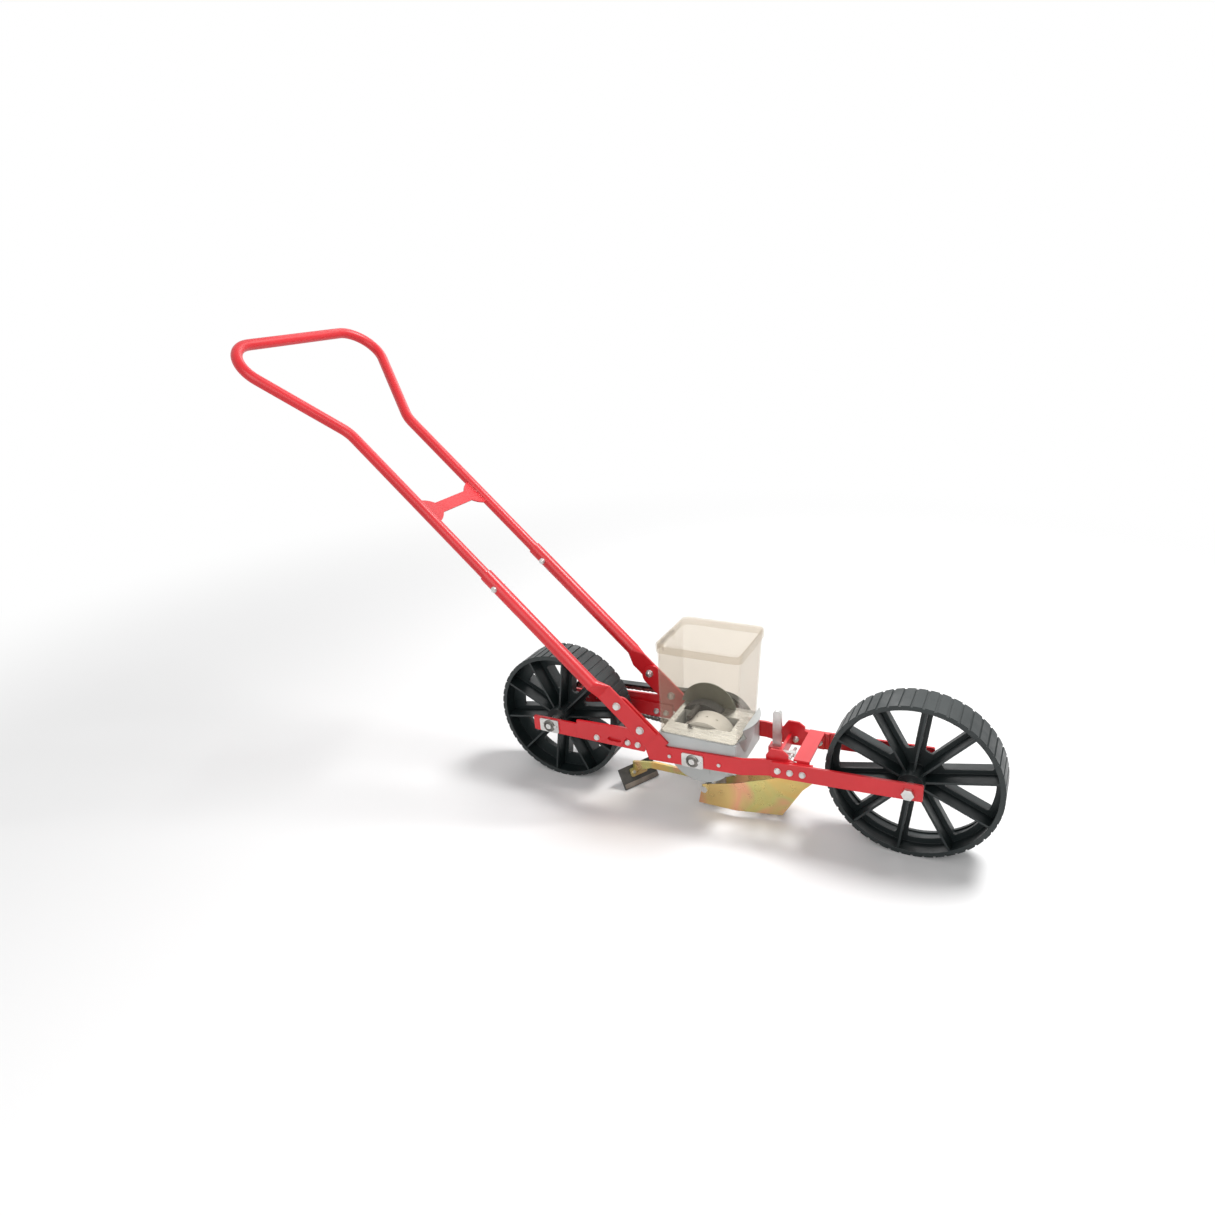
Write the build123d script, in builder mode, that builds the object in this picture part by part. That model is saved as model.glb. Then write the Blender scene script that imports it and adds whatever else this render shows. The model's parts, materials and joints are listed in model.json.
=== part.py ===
from build123d import *
from math import atan2, cos, radians, sin, sqrt
import os

os.makedirs("parts", exist_ok=True)

# A single-row push seeder, in millimetres. X points forwards, Y to the operator's left, Z up.
# The ground is at Z = 0 and the origin lies under the middle of the whole length.

# Wheels
front_wheel_radius = 150.0
front_wheel_width = 70.0
rear_wheel_radius = 140.0
rear_wheel_width = 72.0
wheel_base = 712.0
spoke_count = 10
spoke_width = 19.0
lug_count = 48
lug_height = 2.0
groove_width = 4.5
rim_wall = 4.5
rim_bead = 2.5
bead_width = 6.0
web_thickness = 5.0
front_web_ring = 11.0
rear_web_ring = 28.0
front_spoke_start = 12.0
rear_spoke_start = 10.0
window_radius_inner = 52.0
window_corner = 5.0
rib_thickness = 4.0
rib_setback = 2.0
hub_radius = 23.0
hub_length = 88.0

# Shafts and running fits
shaft_radius = 6.0
running_clearance = 0.05
end_clearance = 0.3
bolt_clearance = 0.2
bearing_radius = 9.0
bearing_plate_thickness = 3.0
spacer_radius = 10.0

# Chain drive
chain_pitch = 9.525
drive_teeth = 15
driven_teeth = 30
run_links = 34
chain_roller_radius = 2.54
chain_roller_half = 2.4
link_plate = 1.2
link_height = 8.2
sprocket_thickness = 4.2
tooth_height = 2.9
tooth_clearance = 0.15
chain_plane_y = 96.0

# Frame plates and bars
plate_thickness = 5.0
plate_outer = 77.0
front_plate_outer = 63.0
joggle_start = 98.0
joggle_end = 146.0
joggle_bend = 14.0
roller_height = 131.0
plate_below_line = 14.0
plate_above_line = 20.0
plate_front_end = 226.0
plate_rear_corner = 92.0
bar_width = 32.0
front_arm_rise = 3.0
front_arm_overhang = 24.0
rear_arm_tail = 38.0
rear_arm_rise = 1.0
extension_reach = 68.0
extension_top = 170.0
extension_bottom = 129.0
extension_step = 150.0
extension_foot = 153.0
extension_notch = 141.0
extension_front = 104.0
slot_offset = 152.5
slot_height = 141.0
slot_length = 30.0
slot_width = 9.0
extension_bolt_back = 207.0
arm_bolt_rear_back = 140.0
arm_bolt_front_back = 118.0
housing_screw_rear_back = 48.0
housing_screw_front = 53.0

# Handle
handle_angle = 42.5
handle_foot_back = 154.6
handle_foot_height = 221.0
handle_bolt_spacing = 65.0
lower_tube_radius = 13.5
lower_tube_wall = 2.3
flat_width = 41.0
flat_start = 37.0
round_start = 62.0
flat_end = 93.0
plate_arm_width = 46.0
plate_arm_end = 15.0
lower_tube_top = 365.0
tube_radius = 11.0
tube_wall = 2.0
tube_insertion = 70.0
neck_distance = 767.0
grip_distance = 1030.0
grip_half_width = 229.0
grip_bend = 62.0
brace_distance = 538.0
brace_width = 26.0
brace_flare = 60.0
brace_thickness = 3.0

# Front crossbar and shank bracket
crossbar_offset = 204.0
crossbar_width = 29.0
crossbar_top = 166.0
crossbar_sheet = 4.0
bolt_offset_front = 163.0
bolt_step_front = 23.0
bolt_rise_front = 2.0
shank_offset = 142.0
shank_length_x = 16.0
shank_width_y = 8.0
shank_top = 227.0
shank_bottom = 40.0
socket_wall = 6.0
bracket_bar = 6.0
bracket_low = 129.0
bracket_high = 153.0
bracket_sheet = 4.0
bracket_rear = 138.0
bracket_foot_front = 193.0
bracket_head_front = 180.0
socket_fit = 0.3
screw_handle_length = 40.0
lug_top = 178.0

# Furrow opener and its depth travel
depth_travel = 40.0
opener_sheet = 2.5
opener_half_width = 38.0
opener_rear = 5.0
opener_bend = 72.0
opener_nose = 226.0
opener_nose_half = 5.0
opener_bottom = 12.0
opener_rear_top = 55.0
opener_front_top = 117.0

# Covering plate behind the opener
cover_pivot_offset = 8.0
cover_pivot_height = 47.0
cover_plate_width = 86.0
cover_plate_height = 46.0
cover_plate_thickness = 5.0
cover_skew = 28.0
cover_tilt = 32.0
cover_offset = 156.0
ground_gap = 1.0
cover_arm_thickness = 6.0
cover_arm_height = 13.0

# Seed housing, roller and brush
housing_rear = 72.0
housing_front = 84.0
housing_half_width = 71.7
housing_top = 176.0
housing_lip_top = 204.0
housing_nose = 100.0
belly_half_width = 39.0
belly_bottom = 61.0
belly_joint = 114.0
seed_roller_radius = 55.0
seed_roller_width = 50.0
cell_count = 16
cell_radius = 3.2
roller_gap = 1.5
chute_offset = 27.0
chute_radius = 11.0
chute_wall = 1.5
chute_bottom = 24.0

# Hopper and lid
hopper_wall = 2.5
hopper_half_width = 71.5
hopper_rear = 71.0
hopper_front_top = 93.0
hopper_front_bottom = 84.0
hopper_far_bottom = 60.0
hopper_bottom = 178.0
hopper_top = 358.0
hopper_corner = 12.0
floor_sheet = 2.0
slot_half_length = 58.0
lid_top = 363.5
lid_wall = 2.5
lid_skirt = 18.0
lid_side_gap = 0.5
lid_round = 5.0
panel_back = 21.0
hinge_back = 79.0
hinge_height = 346.0
hinge_pin_radius = 2.0
knuckle_radius = 4.2
knuckle_half = 20.0
ear_length = 12.0

# Chain guard
guard_inner = 88.0
guard_outer = 104.0
guard_sheet = 2.0
guard_rear_radius = 31.0
guard_front_radius = 61.0
guard_above_run = 11.0
guard_bar = 14.0
guard_boss_radius = 5.0
guard_rear_boss = 36.0
guard_front_boss = 56.0

# Fasteners
bolt_radius = 4.0
bolt_head_flats = 13.0
bolt_head_height = 5.3
nut_height = 6.5
small_bolt_radius = 3.0
small_head_flats = 10.0
small_head_height = 4.0
small_nut_height = 5.0
screw_radius = 2.0
screw_head_radius = 3.6
screw_head_height = 2.2

# Positions that follow from the sizes above
drive_pitch_radius = chain_pitch / (2 * sin(radians(180 / drive_teeth)))
driven_pitch_radius = chain_pitch / (2 * sin(radians(180 / driven_teeth)))
drive_end_angle = 84.0
run_length = run_links * chain_pitch
drive_end_along = drive_pitch_radius * cos(radians(drive_end_angle))
drive_end_across = drive_pitch_radius * sin(radians(drive_end_angle))
shaft_distance = sqrt(run_length**2 - (driven_pitch_radius - drive_end_across) ** 2) - drive_end_along
shaft_drop = rear_wheel_radius - roller_height
shaft_run = sqrt(shaft_distance**2 - shaft_drop**2)

handle_run = cos(radians(handle_angle))
handle_rise = sin(radians(handle_angle))
length_ahead = wheel_base + front_wheel_radius
length_behind = handle_foot_back - shaft_run + grip_distance * handle_run + tube_radius
rear_x = (length_behind - length_ahead) / 2
rear_z = rear_wheel_radius
front_x = rear_x + wheel_base
front_z = front_wheel_radius
roller_x = rear_x + shaft_run
roller_z = roller_height
frame_slope = (front_z - roller_z) / (front_x - roller_x)

foot_x = roller_x - handle_foot_back
foot_z = handle_foot_height
leg_y = plate_outer + lower_tube_radius
plate_inner = plate_outer - plate_thickness
rear_arm_outer = plate_inner
rear_arm_inner = rear_arm_outer - plate_thickness
front_plate_inner = front_plate_outer - plate_thickness
front_arm_outer = front_plate_outer + plate_thickness
strip_thickness = 2 * lower_tube_wall
strip_outer = plate_outer + strip_thickness
shank_x = roller_x + shank_offset

sides = {"right": -1, "left": 1}


def save(piece, name):
    """Label one finished piece and write it as its own file."""
    piece.label = name
    export_step(piece, f"parts/{name}.step")


def side_plane(side, distance):
    """Upright plane along the row, at a distance from the middle on one side."""
    return Plane(origin=(0, side * distance, 0), x_dir=(1, 0, 0), z_dir=(0, -1, 0))


def frame_line(x):
    """Height of the line from the seed roller's shaft to the front axle."""
    return roller_z + (x - roller_x) * frame_slope


def handle_point(distance, y):
    """Point on the handle's axis, at a distance up from its upper bolt."""
    return (foot_x - distance * handle_run, y, foot_z + distance * handle_rise)


def across_handle(distance, y):
    """Plane square to the handle's axis, with its own X along the row's Y."""
    return Plane(
        origin=handle_point(distance, y), x_dir=(0, 1, 0), z_dir=(-handle_run, 0, handle_rise)
    )


handle_plane = Plane(
    origin=(foot_x, 0, foot_z),
    x_dir=(-handle_run, 0, handle_rise),
    z_dir=(handle_rise, 0, handle_run),
)


def build_wheel(x, z, width, radius, web_ring, spoke_start):
    """Moulded wheel: lugged rim, flat spokes with upright ribs, and a long hub."""
    centre = Plane(origin=(x, 0, z), x_dir=(1, 0, 0), z_dir=(0, -1, 0))
    rim_inner = radius - lug_height - rim_wall
    window_outer = rim_inner - web_ring
    rib_length = rim_inner - hub_radius
    with BuildPart() as wheel:
        with BuildSketch(centre):
            Circle(radius)
            with PolarLocations(radius, lug_count, start_angle=180 / lug_count):
                Rectangle(2 * lug_height, groove_width, mode=Mode.SUBTRACT)
            Circle(rim_inner, mode=Mode.SUBTRACT)
        extrude(amount=width / 2, both=True)
        for edge in (-1, 1):
            with BuildSketch(centre.offset(edge * (width / 2 - bead_width / 2))):
                Circle(rim_inner)
                Circle(rim_inner - rim_bead, mode=Mode.SUBTRACT)
            extrude(amount=bead_width / 2, both=True)
        with BuildSketch(centre):
            Circle(rim_inner)
            with BuildSketch(centre, mode=Mode.SUBTRACT) as windows:
                Circle(window_outer)
                Circle(window_radius_inner, mode=Mode.SUBTRACT)
                with PolarLocations(radius / 2, spoke_count, start_angle=spoke_start):
                    Rectangle(radius, spoke_width, mode=Mode.SUBTRACT)
                fillet(windows.vertices(), radius=window_corner)
        extrude(amount=web_thickness / 2, both=True)
        with BuildSketch(centre):
            with PolarLocations(
                hub_radius + rib_length / 2 - 1, spoke_count, start_angle=spoke_start
            ):
                Rectangle(rib_length + 1, rib_thickness)
        extrude(amount=width / 2 - rib_setback, both=True)
        with BuildSketch(centre):
            Circle(hub_radius)
        extrude(amount=hub_length / 2, both=True)
    return wheel.part


def bore_wheel(blank, x, z, radius):
    """Cut the hub's bore through a wheel."""
    with BuildPart() as bored:
        add(blank)
        with BuildSketch(Plane(origin=(x, 0, z), x_dir=(1, 0, 0), z_dir=(0, -1, 0))):
            Circle(radius)
        extrude(amount=hub_length, both=True, mode=Mode.SUBTRACT)
    return bored.part


def build_rod(x, z, radius, start, stop):
    """Round piece along Y, from one Y to another."""
    with BuildPart() as rod:
        with BuildSketch(side_plane(1, start)):
            with Locations((x, z)):
                Circle(radius)
        extrude(amount=start - stop)
    return rod.part


def build_tube(x, z, outer, inner, start, stop):
    """Round tube along Y, from one Y to another."""
    with BuildPart() as tube:
        with BuildSketch(side_plane(1, start)):
            with Locations((x, z)):
                Circle(outer)
                Circle(inner, mode=Mode.SUBTRACT)
        extrude(amount=start - stop)
    return tube.part


def build_bolt(x, z, side, seat, grip, radius, flats, head):
    """Bolt along Y with its six-sided head outwards on the seat, passing in through the grip."""
    with BuildPart() as bolt:
        with BuildSketch(side_plane(side, seat)):
            with Locations((x, z)):
                RegularPolygon(flats / 2, 6, major_radius=False)
        extrude(amount=-side * head)
        with BuildSketch(side_plane(side, seat)):
            with Locations((x, z)):
                Circle(radius)
        extrude(amount=side * grip)
    return bolt.part


def build_nut(x, z, side, seat, radius, flats, height):
    """Nut along Y whose outer face is on the seat, with a bore that clears its bolt."""
    with BuildPart() as nut:
        with BuildSketch(side_plane(side, seat)):
            with Locations((x, z)):
                RegularPolygon(flats / 2, 6, major_radius=False)
                Circle(radius + running_clearance, mode=Mode.SUBTRACT)
        extrude(amount=side * height)
    return nut.part


def group(pieces):
    """Keep separate identical solids together in one node."""
    return Compound(children=[Compound(solid.solids()) for solid in pieces])


def cut_holes(blank, places, radius, reach=300.0):
    """Cut round holes along Y through a piece, at a list of (x, z) places."""
    with BuildPart() as cut:
        add(blank)
        with BuildSketch(Plane.XZ):
            with Locations(*places):
                Circle(radius)
        extrude(amount=reach, both=True, mode=Mode.SUBTRACT)
    return cut.part


# Places of the fasteners
axle_place = (rear_x, rear_z)
roller_place = (roller_x, roller_z)
guard_rear_place = (rear_x + guard_rear_boss, rear_z)
guard_front_place = (roller_x - guard_front_boss, roller_z)
upper_bolt_place = (foot_x, foot_z)
lower_bolt_place = (
    foot_x + handle_bolt_spacing * handle_run,
    foot_z - handle_bolt_spacing * handle_rise,
)
extension_bolt_place = (roller_x - extension_bolt_back, rear_z - 2.0)
arm_bolt_places = [
    (roller_x - arm_bolt_rear_back, rear_z - 2.5),
    (roller_x - arm_bolt_front_back, rear_z - 3.0),
]
front_bolt_places = [
    (
        roller_x + bolt_offset_front + bolt_step_front * index,
        frame_line(roller_x + bolt_offset_front + bolt_step_front * index) + bolt_rise_front,
    )
    for index in range(3)
]
housing_screw_places = [
    (roller_x - housing_screw_rear_back, roller_z - 1.0),
    (roller_x + housing_screw_front, roller_z + 2.0),
]

# Side plates: upright sheet with a diagonal arm, stepped in between the two wheels
rear_end = rear_x + extension_reach
front_end = roller_x + plate_front_end
plate_corner = roller_x - plate_rear_corner
plate_holes = [upper_bolt_place, lower_bolt_place]
for name, side in sides.items():
    with BuildPart() as side_plate:
        with BuildSketch(Plane.XZ):
            Polygon(
                (rear_end, extension_top - 2),
                (rear_end, extension_bottom),
                (roller_x - extension_foot, extension_bottom),
                (roller_x - extension_notch, extension_step),
                (roller_x - extension_front, extension_step),
                (plate_corner, frame_line(plate_corner) - plate_below_line),
                (front_end, frame_line(front_end) - plate_below_line),
                (front_end, frame_line(front_end) + plate_above_line),
                (roller_x - 52, frame_line(roller_x - 52) + plate_above_line),
                (roller_x - 120, extension_top + 3),
                align=None,
            )
        extrude(amount=-side * 2 * plate_outer)
        with BuildSketch(Plane.XZ):
            with Locations(
                Location((foot_x, foot_z, 0), (0, 0, 180 - handle_angle)),
            ):
                with Locations(((plate_arm_end - 120) / 2, 0)):
                    Rectangle(120 + plate_arm_end, plate_arm_width)
        extrude(amount=-side * 2 * plate_outer)
        arm_edges = (
            side_plate.edges()
            .filter_by(Axis.Y)
            .sort_by(Axis.Z)[-2:]
        )
        fillet(arm_edges, radius=plate_arm_width / 2 - 1)
        with BuildSketch(Plane.XY):
            with BuildLine():
                FilletPolyline(
                    (rear_end - 5, side * (plate_outer - plate_thickness / 2)),
                    (roller_x + joggle_start, side * (plate_outer - plate_thickness / 2)),
                    (roller_x + joggle_end, side * (front_plate_outer - plate_thickness / 2)),
                    (front_end + 5, side * (front_plate_outer - plate_thickness / 2)),
                    radius=joggle_bend,
                )
            trace(line_width=plate_thickness)
        extrude(amount=500, mode=Mode.INTERSECT)
        with BuildSketch(Plane.XZ):
            with Locations((roller_x - slot_offset - 15, slot_height)):
                SlotOverall(slot_length, slot_width)
        extrude(amount=300, both=True, mode=Mode.SUBTRACT)
    plate = cut_holes(side_plate.part, plate_holes, bolt_radius + bolt_clearance)
    plate = cut_holes(plate, [roller_place], bearing_radius + running_clearance)
    small_holes = [extension_bolt_place] + front_bolt_places
    plate = cut_holes(plate, small_holes, small_bolt_radius + bolt_clearance)
    screw_holes = housing_screw_places + [
        (roller_x - 15, roller_z),
        (roller_x + 15, roller_z),
    ]
    if side > 0:
        screw_holes = screw_holes + [guard_front_place]
    plate = cut_holes(plate, screw_holes, screw_radius + bolt_clearance)
    save(plate, f"side_plate_{name}")

# Flat arms that hold the wheels
for name, side in sides.items():
    with BuildPart() as rear_arm:
        with BuildSketch(side_plane(side, rear_arm_inner)):
            Polygon(
                (rear_x - rear_arm_tail, rear_z - bar_width / 2),
                (plate_corner - 11, rear_z - bar_width / 2),
                (plate_corner - 11, rear_z + bar_width / 2),
                (rear_x - rear_arm_tail, rear_z + bar_width / 2),
                align=None,
            )
        extrude(amount=-side * plate_thickness)
        fillet(rear_arm.edges().filter_by(Axis.Y), radius=3)
    arm = cut_holes(rear_arm.part, [axle_place], bearing_radius + running_clearance)
    arm = cut_holes(
        arm, [extension_bolt_place] + arm_bolt_places, small_bolt_radius + bolt_clearance
    )
    screw_holes = [(rear_x - 15, rear_z), (rear_x + 15, rear_z)]
    if side > 0:
        screw_holes = screw_holes + [guard_rear_place]
    save(cut_holes(arm, screw_holes, screw_radius + bolt_clearance), f"rear_arm_{name}")

    arm_start = roller_x + crossbar_offset - 53
    arm_stop = front_x + front_arm_overhang
    arm_low = front_arm_rise - bar_width / 2
    arm_high = front_arm_rise + bar_width / 2
    with BuildPart() as front_arm:
        with BuildSketch(side_plane(side, front_plate_outer)):
            Polygon(
                (arm_start, frame_line(arm_start) + arm_low),
                (arm_stop, frame_line(arm_stop) + arm_low),
                (arm_stop, frame_line(arm_stop) + arm_high),
                (arm_start, frame_line(arm_start) + arm_high),
                align=None,
            )
        extrude(amount=-side * plate_thickness)
        fillet(front_arm.edges().filter_by(Axis.Y), radius=3)
    arm = cut_holes(front_arm.part, [(front_x, front_z)], shaft_radius + running_clearance)
    arm = cut_holes(arm, front_bolt_places, small_bolt_radius + bolt_clearance)
    save(arm, f"front_arm_{name}")

# Crossbar: a channel bolted between the plates by the foremost bolts
crossbar_x = roller_x + crossbar_offset
with BuildPart() as front_crossbar:
    with BuildSketch(Plane.XY.offset(crossbar_top - crossbar_sheet)):
        with Locations((crossbar_x, 0)):
            Rectangle(crossbar_width, 2 * front_plate_inner)
    extrude(amount=crossbar_sheet)
    for side in sides.values():
        with BuildSketch(Plane.XY.offset(bracket_low)):
            with Locations((crossbar_x + 3, side * (front_plate_inner - crossbar_sheet / 2))):
                Rectangle(crossbar_width - 6, crossbar_sheet)
        extrude(amount=crossbar_top - bracket_low)
save(
    cut_holes(front_crossbar.part, front_bolt_places[2:], small_bolt_radius + bolt_clearance),
    "front_crossbar",
)

# Shank bracket: two end tabs, a bar between them and a square socket round the shank
shank_front = shank_x + shank_length_x / 2
bar_back = shank_front + socket_fit
bar_front = bar_back + bracket_bar
socket_back = shank_x - shank_length_x / 2 - socket_fit - socket_wall
socket_half = shank_width_y / 2 + socket_fit + socket_wall
screw_z = (bracket_low + bracket_high) / 2
tab_inner = front_plate_inner - bracket_sheet
with BuildPart() as shank_bracket:
    for side in sides.values():
        with BuildSketch(side_plane(side, tab_inner)):
            Polygon(
                (roller_x + bracket_rear, bracket_low),
                (roller_x + bracket_foot_front, bracket_low),
                (roller_x + bracket_foot_front, lug_top - 20),
                (roller_x + bracket_head_front, lug_top - 16),
                (roller_x + bracket_head_front, lug_top - 8),
                (roller_x + bracket_head_front - 12, lug_top),
                (roller_x + bracket_rear + 9, lug_top),
                (roller_x + bracket_rear, lug_top - 14),
                align=None,
            )
        extrude(amount=-side * bracket_sheet)
    with BuildSketch(Plane.XY.offset(bracket_low)):
        with Locations(((bar_back + bar_front) / 2, 0)):
            Rectangle(bracket_bar, 2 * tab_inner + 1)
        with Locations(((socket_back + bar_front) / 2, 0)):
            Rectangle(bar_front - socket_back, 2 * socket_half)
    extrude(amount=bracket_high - bracket_low)
    with BuildSketch(Plane.XY.offset(bracket_low)):
        with Locations((shank_x, 0)):
            Rectangle(shank_length_x + 2 * socket_fit, shank_width_y + 2 * socket_fit)
    extrude(amount=bracket_high - bracket_low, mode=Mode.SUBTRACT)
    with BuildSketch(Plane.YZ.offset(shank_front)):
        with Locations((0, screw_z)):
            Circle(bolt_radius + running_clearance)
    extrude(amount=20, mode=Mode.SUBTRACT)
save(
    cut_holes(shank_bracket.part, front_bolt_places[:2], small_bolt_radius + bolt_clearance),
    "shank_bracket",
)

# Clamp screw with its cross handle
with BuildPart() as clamp_screw:
    with BuildSketch(Plane.YZ.offset(shank_front + end_clearance)):
        with Locations((0, screw_z)):
            Circle(bolt_radius)
    extrude(amount=25)
    with BuildSketch(Plane.YZ.offset(bar_front + 11)):
        with Locations((0, screw_z)):
            Circle(bolt_radius + 2.5)
    extrude(amount=10)
    with BuildSketch(Plane.XZ.offset(-screw_handle_length / 2)):
        with Locations((bar_front + 16, screw_z)):
            Circle(screw_radius + 0.8)
    extrude(amount=screw_handle_length)
save(clamp_screw.part, "clamp_screw")

# Handle: lower tubes flattened where they meet the side plates
handle_parts = {}
for name, side in sides.items():
    strip_middle = side * (plate_outer + strip_thickness / 2)
    with BuildPart() as lower_tube:
        with BuildSketch(across_handle(-flat_end, strip_middle)):
            RectangleRounded(strip_thickness, flat_width, strip_thickness / 2 - 0.01)
        extrude(amount=flat_end + flat_start)
        with BuildSketch(across_handle(flat_start, strip_middle)):
            RectangleRounded(strip_thickness, flat_width, strip_thickness / 2 - 0.01)
        with BuildSketch(across_handle(round_start, side * leg_y)):
            RectangleRounded(
                2 * lower_tube_radius, 2 * lower_tube_radius, lower_tube_radius - 0.01
            )
        loft()
        with BuildSketch(across_handle(round_start, side * leg_y)):
            Circle(lower_tube_radius)
        extrude(amount=lower_tube_top - round_start)
        with BuildSketch(across_handle(round_start, side * leg_y)):
            Circle(lower_tube_radius - lower_tube_wall)
        extrude(amount=lower_tube_top - round_start, mode=Mode.SUBTRACT)
    handle_parts[name] = lower_tube.part

tube_bolt_distance = lower_tube_top - 35
tube_bolt_place = (handle_point(tube_bolt_distance, 0)[0], handle_point(tube_bolt_distance, 0)[2])
for name, side in sides.items():
    tube = cut_holes(
        handle_parts[name],
        [upper_bolt_place, lower_bolt_place],
        bolt_radius + bolt_clearance,
    )
    tube = cut_holes(tube, [tube_bolt_place], small_bolt_radius + bolt_clearance)
    save(tube, f"handle_lower_tube_{name}")

# Handle loop: one bent tube that slides in both lower tubes
loop_start = lower_tube_top - tube_insertion
with BuildPart() as handle_loop:
    with BuildLine(handle_plane) as loop_path:
        FilletPolyline(
            (loop_start, -leg_y),
            (neck_distance, -leg_y),
            (grip_distance, -grip_half_width),
            (grip_distance, grip_half_width),
            (neck_distance, leg_y),
            (loop_start, leg_y),
            radius=grip_bend,
        )
    with BuildSketch(across_handle(loop_start, leg_y)):
        Circle(tube_radius)
        Circle(tube_radius - tube_wall, mode=Mode.SUBTRACT)
    sweep()
save(
    cut_holes(handle_loop.part, [tube_bolt_place], small_bolt_radius + bolt_clearance),
    "handle_loop",
)

# Brace between the legs of the loop, flared where it meets them
brace_half = leg_y - tube_radius - 0.1
with BuildPart() as handle_brace:
    with BuildSketch(handle_plane):
        with Locations((brace_distance, 0)):
            Rectangle(brace_width, 2 * brace_half)
        for end in (-1, 1):
            with BuildLine():
                Polyline(
                    (brace_distance - brace_width / 2, end * (brace_half - brace_flare / 2)),
                    (brace_distance + brace_width / 2, end * (brace_half - brace_flare / 2)),
                )
                RadiusArc(
                    (brace_distance + brace_width / 2, end * (brace_half - brace_flare / 2)),
                    (brace_distance + brace_flare / 2, end * brace_half),
                    -end * brace_flare,
                )
                Polyline(
                    (brace_distance + brace_flare / 2, end * brace_half),
                    (brace_distance - brace_flare / 2, end * brace_half),
                )
                RadiusArc(
                    (brace_distance - brace_flare / 2, end * brace_half),
                    (brace_distance - brace_width / 2, end * (brace_half - brace_flare / 2)),
                    -end * brace_flare,
                )
            make_face()
    extrude(amount=brace_thickness / 2, both=True)
save(handle_brace.part, "handle_brace")

# Bolts and nuts of the handle and the frame
save(
    group(
        build_bolt(x, z, side, strip_outer, strip_outer - plate_inner + 8,
                   bolt_radius, bolt_head_flats, bolt_head_height)
        for side in sides.values()
        for x, z in (upper_bolt_place, lower_bolt_place)
    ),
    "handle_bolts",
)
save(
    group(
        build_nut(x, z, side, plate_inner, bolt_radius, bolt_head_flats, nut_height)
        for side in sides.values()
        for x, z in (upper_bolt_place, lower_bolt_place)
    ),
    "handle_nuts",
)
tube_outer_y = leg_y + lower_tube_radius
save(
    group(
        build_bolt(*tube_bolt_place, side, tube_outer_y, 2 * lower_tube_radius + 7,
                   small_bolt_radius, small_head_flats, small_head_height)
        for side in sides.values()
    ),
    "tube_bolts",
)
save(
    group(
        build_bolt(*extension_bolt_place, side, plate_outer, 2 * plate_thickness + 6,
                   small_bolt_radius, small_head_flats, small_head_height)
        for side in sides.values()
    ),
    "extension_bolts",
)
save(
    group(
        build_bolt(x, z, side, rear_arm_outer, plate_thickness + 6,
                   small_bolt_radius, small_head_flats, small_head_height)
        for side in sides.values()
        for x, z in arm_bolt_places
    ),
    "arm_bolts",
)
save(
    group(
        build_bolt(x, z, side, front_arm_outer, 2 * plate_thickness + bracket_sheet + 6,
                   small_bolt_radius, small_head_flats, small_head_height)
        for side in sides.values()
        for x, z in front_bolt_places
    ),
    "front_bolts",
)
small_nut_seats = [(tube_bolt_place, leg_y - lower_tube_radius), (extension_bolt_place, rear_arm_inner)]
small_nut_seats += [(place, rear_arm_inner) for place in arm_bolt_places]
small_nut_seats += [(place, tab_inner) for place in front_bolt_places]
save(
    group(
        build_nut(*place, side, seat, small_bolt_radius, small_head_flats, small_nut_height)
        for side in sides.values()
        for place, seat in small_nut_seats
    ),
    "small_nuts",
)

# Bearings of both shafts: a plate outside each arm or side plate with a bush through both
bearing_seats = [(axle_place, rear_arm_outer), (roller_place, plate_outer)]


def build_bearing_plate(x, z, side, seat):
    """Flat bearing plate with a hole for its bush and two for its screws."""
    with BuildPart() as plate_piece:
        with BuildSketch(side_plane(side, seat)):
            with Locations((x, z)):
                RectangleRounded(44, 29, 4)
                Circle(bearing_radius + running_clearance, mode=Mode.SUBTRACT)
                with Locations((-15, 0), (15, 0)):
                    Circle(screw_radius + bolt_clearance, mode=Mode.SUBTRACT)
        extrude(amount=-side * bearing_plate_thickness)
    return plate_piece.part


save(
    group(
        build_bearing_plate(*place, side, seat)
        for side in sides.values()
        for place, seat in bearing_seats
    ),
    "bearing_plates",
)
save(
    group(
        build_tube(*place, bearing_radius, shaft_radius + running_clearance,
                   side * (seat - plate_thickness), side * (seat + bearing_plate_thickness))
        for side in sides.values()
        for place, seat in bearing_seats
    ),
    "bearings",
)


def build_screw(x, z, side, seat, grip):
    """Small round-headed screw along Y."""
    with BuildPart() as screw:
        with BuildSketch(side_plane(side, seat)):
            with Locations((x, z)):
                Circle(screw_head_radius)
        extrude(amount=-side * screw_head_height)
        with BuildSketch(side_plane(side, seat)):
            with Locations((x, z)):
                Circle(screw_radius)
        extrude(amount=side * grip)
    return screw.part


save(
    group(
        build_screw(place[0] + step, place[1], side, seat + bearing_plate_thickness,
                    bearing_plate_thickness + plate_thickness)
        for side in sides.values()
        for place, seat in bearing_seats
        for step in (-15, 15)
    ),
    "bearing_screws",
)
save(
    group(
        build_screw(*place, side, plate_outer, plate_thickness + 8)
        for side in sides.values()
        for place in housing_screw_places
    ),
    "housing_screws",
)
save(
    group(
        build_screw(*place, 1, guard_outer, guard_outer - rear_arm_inner - 1)
        for place in (guard_rear_place, guard_front_place)
    ),
    "guard_screws",
)

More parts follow.
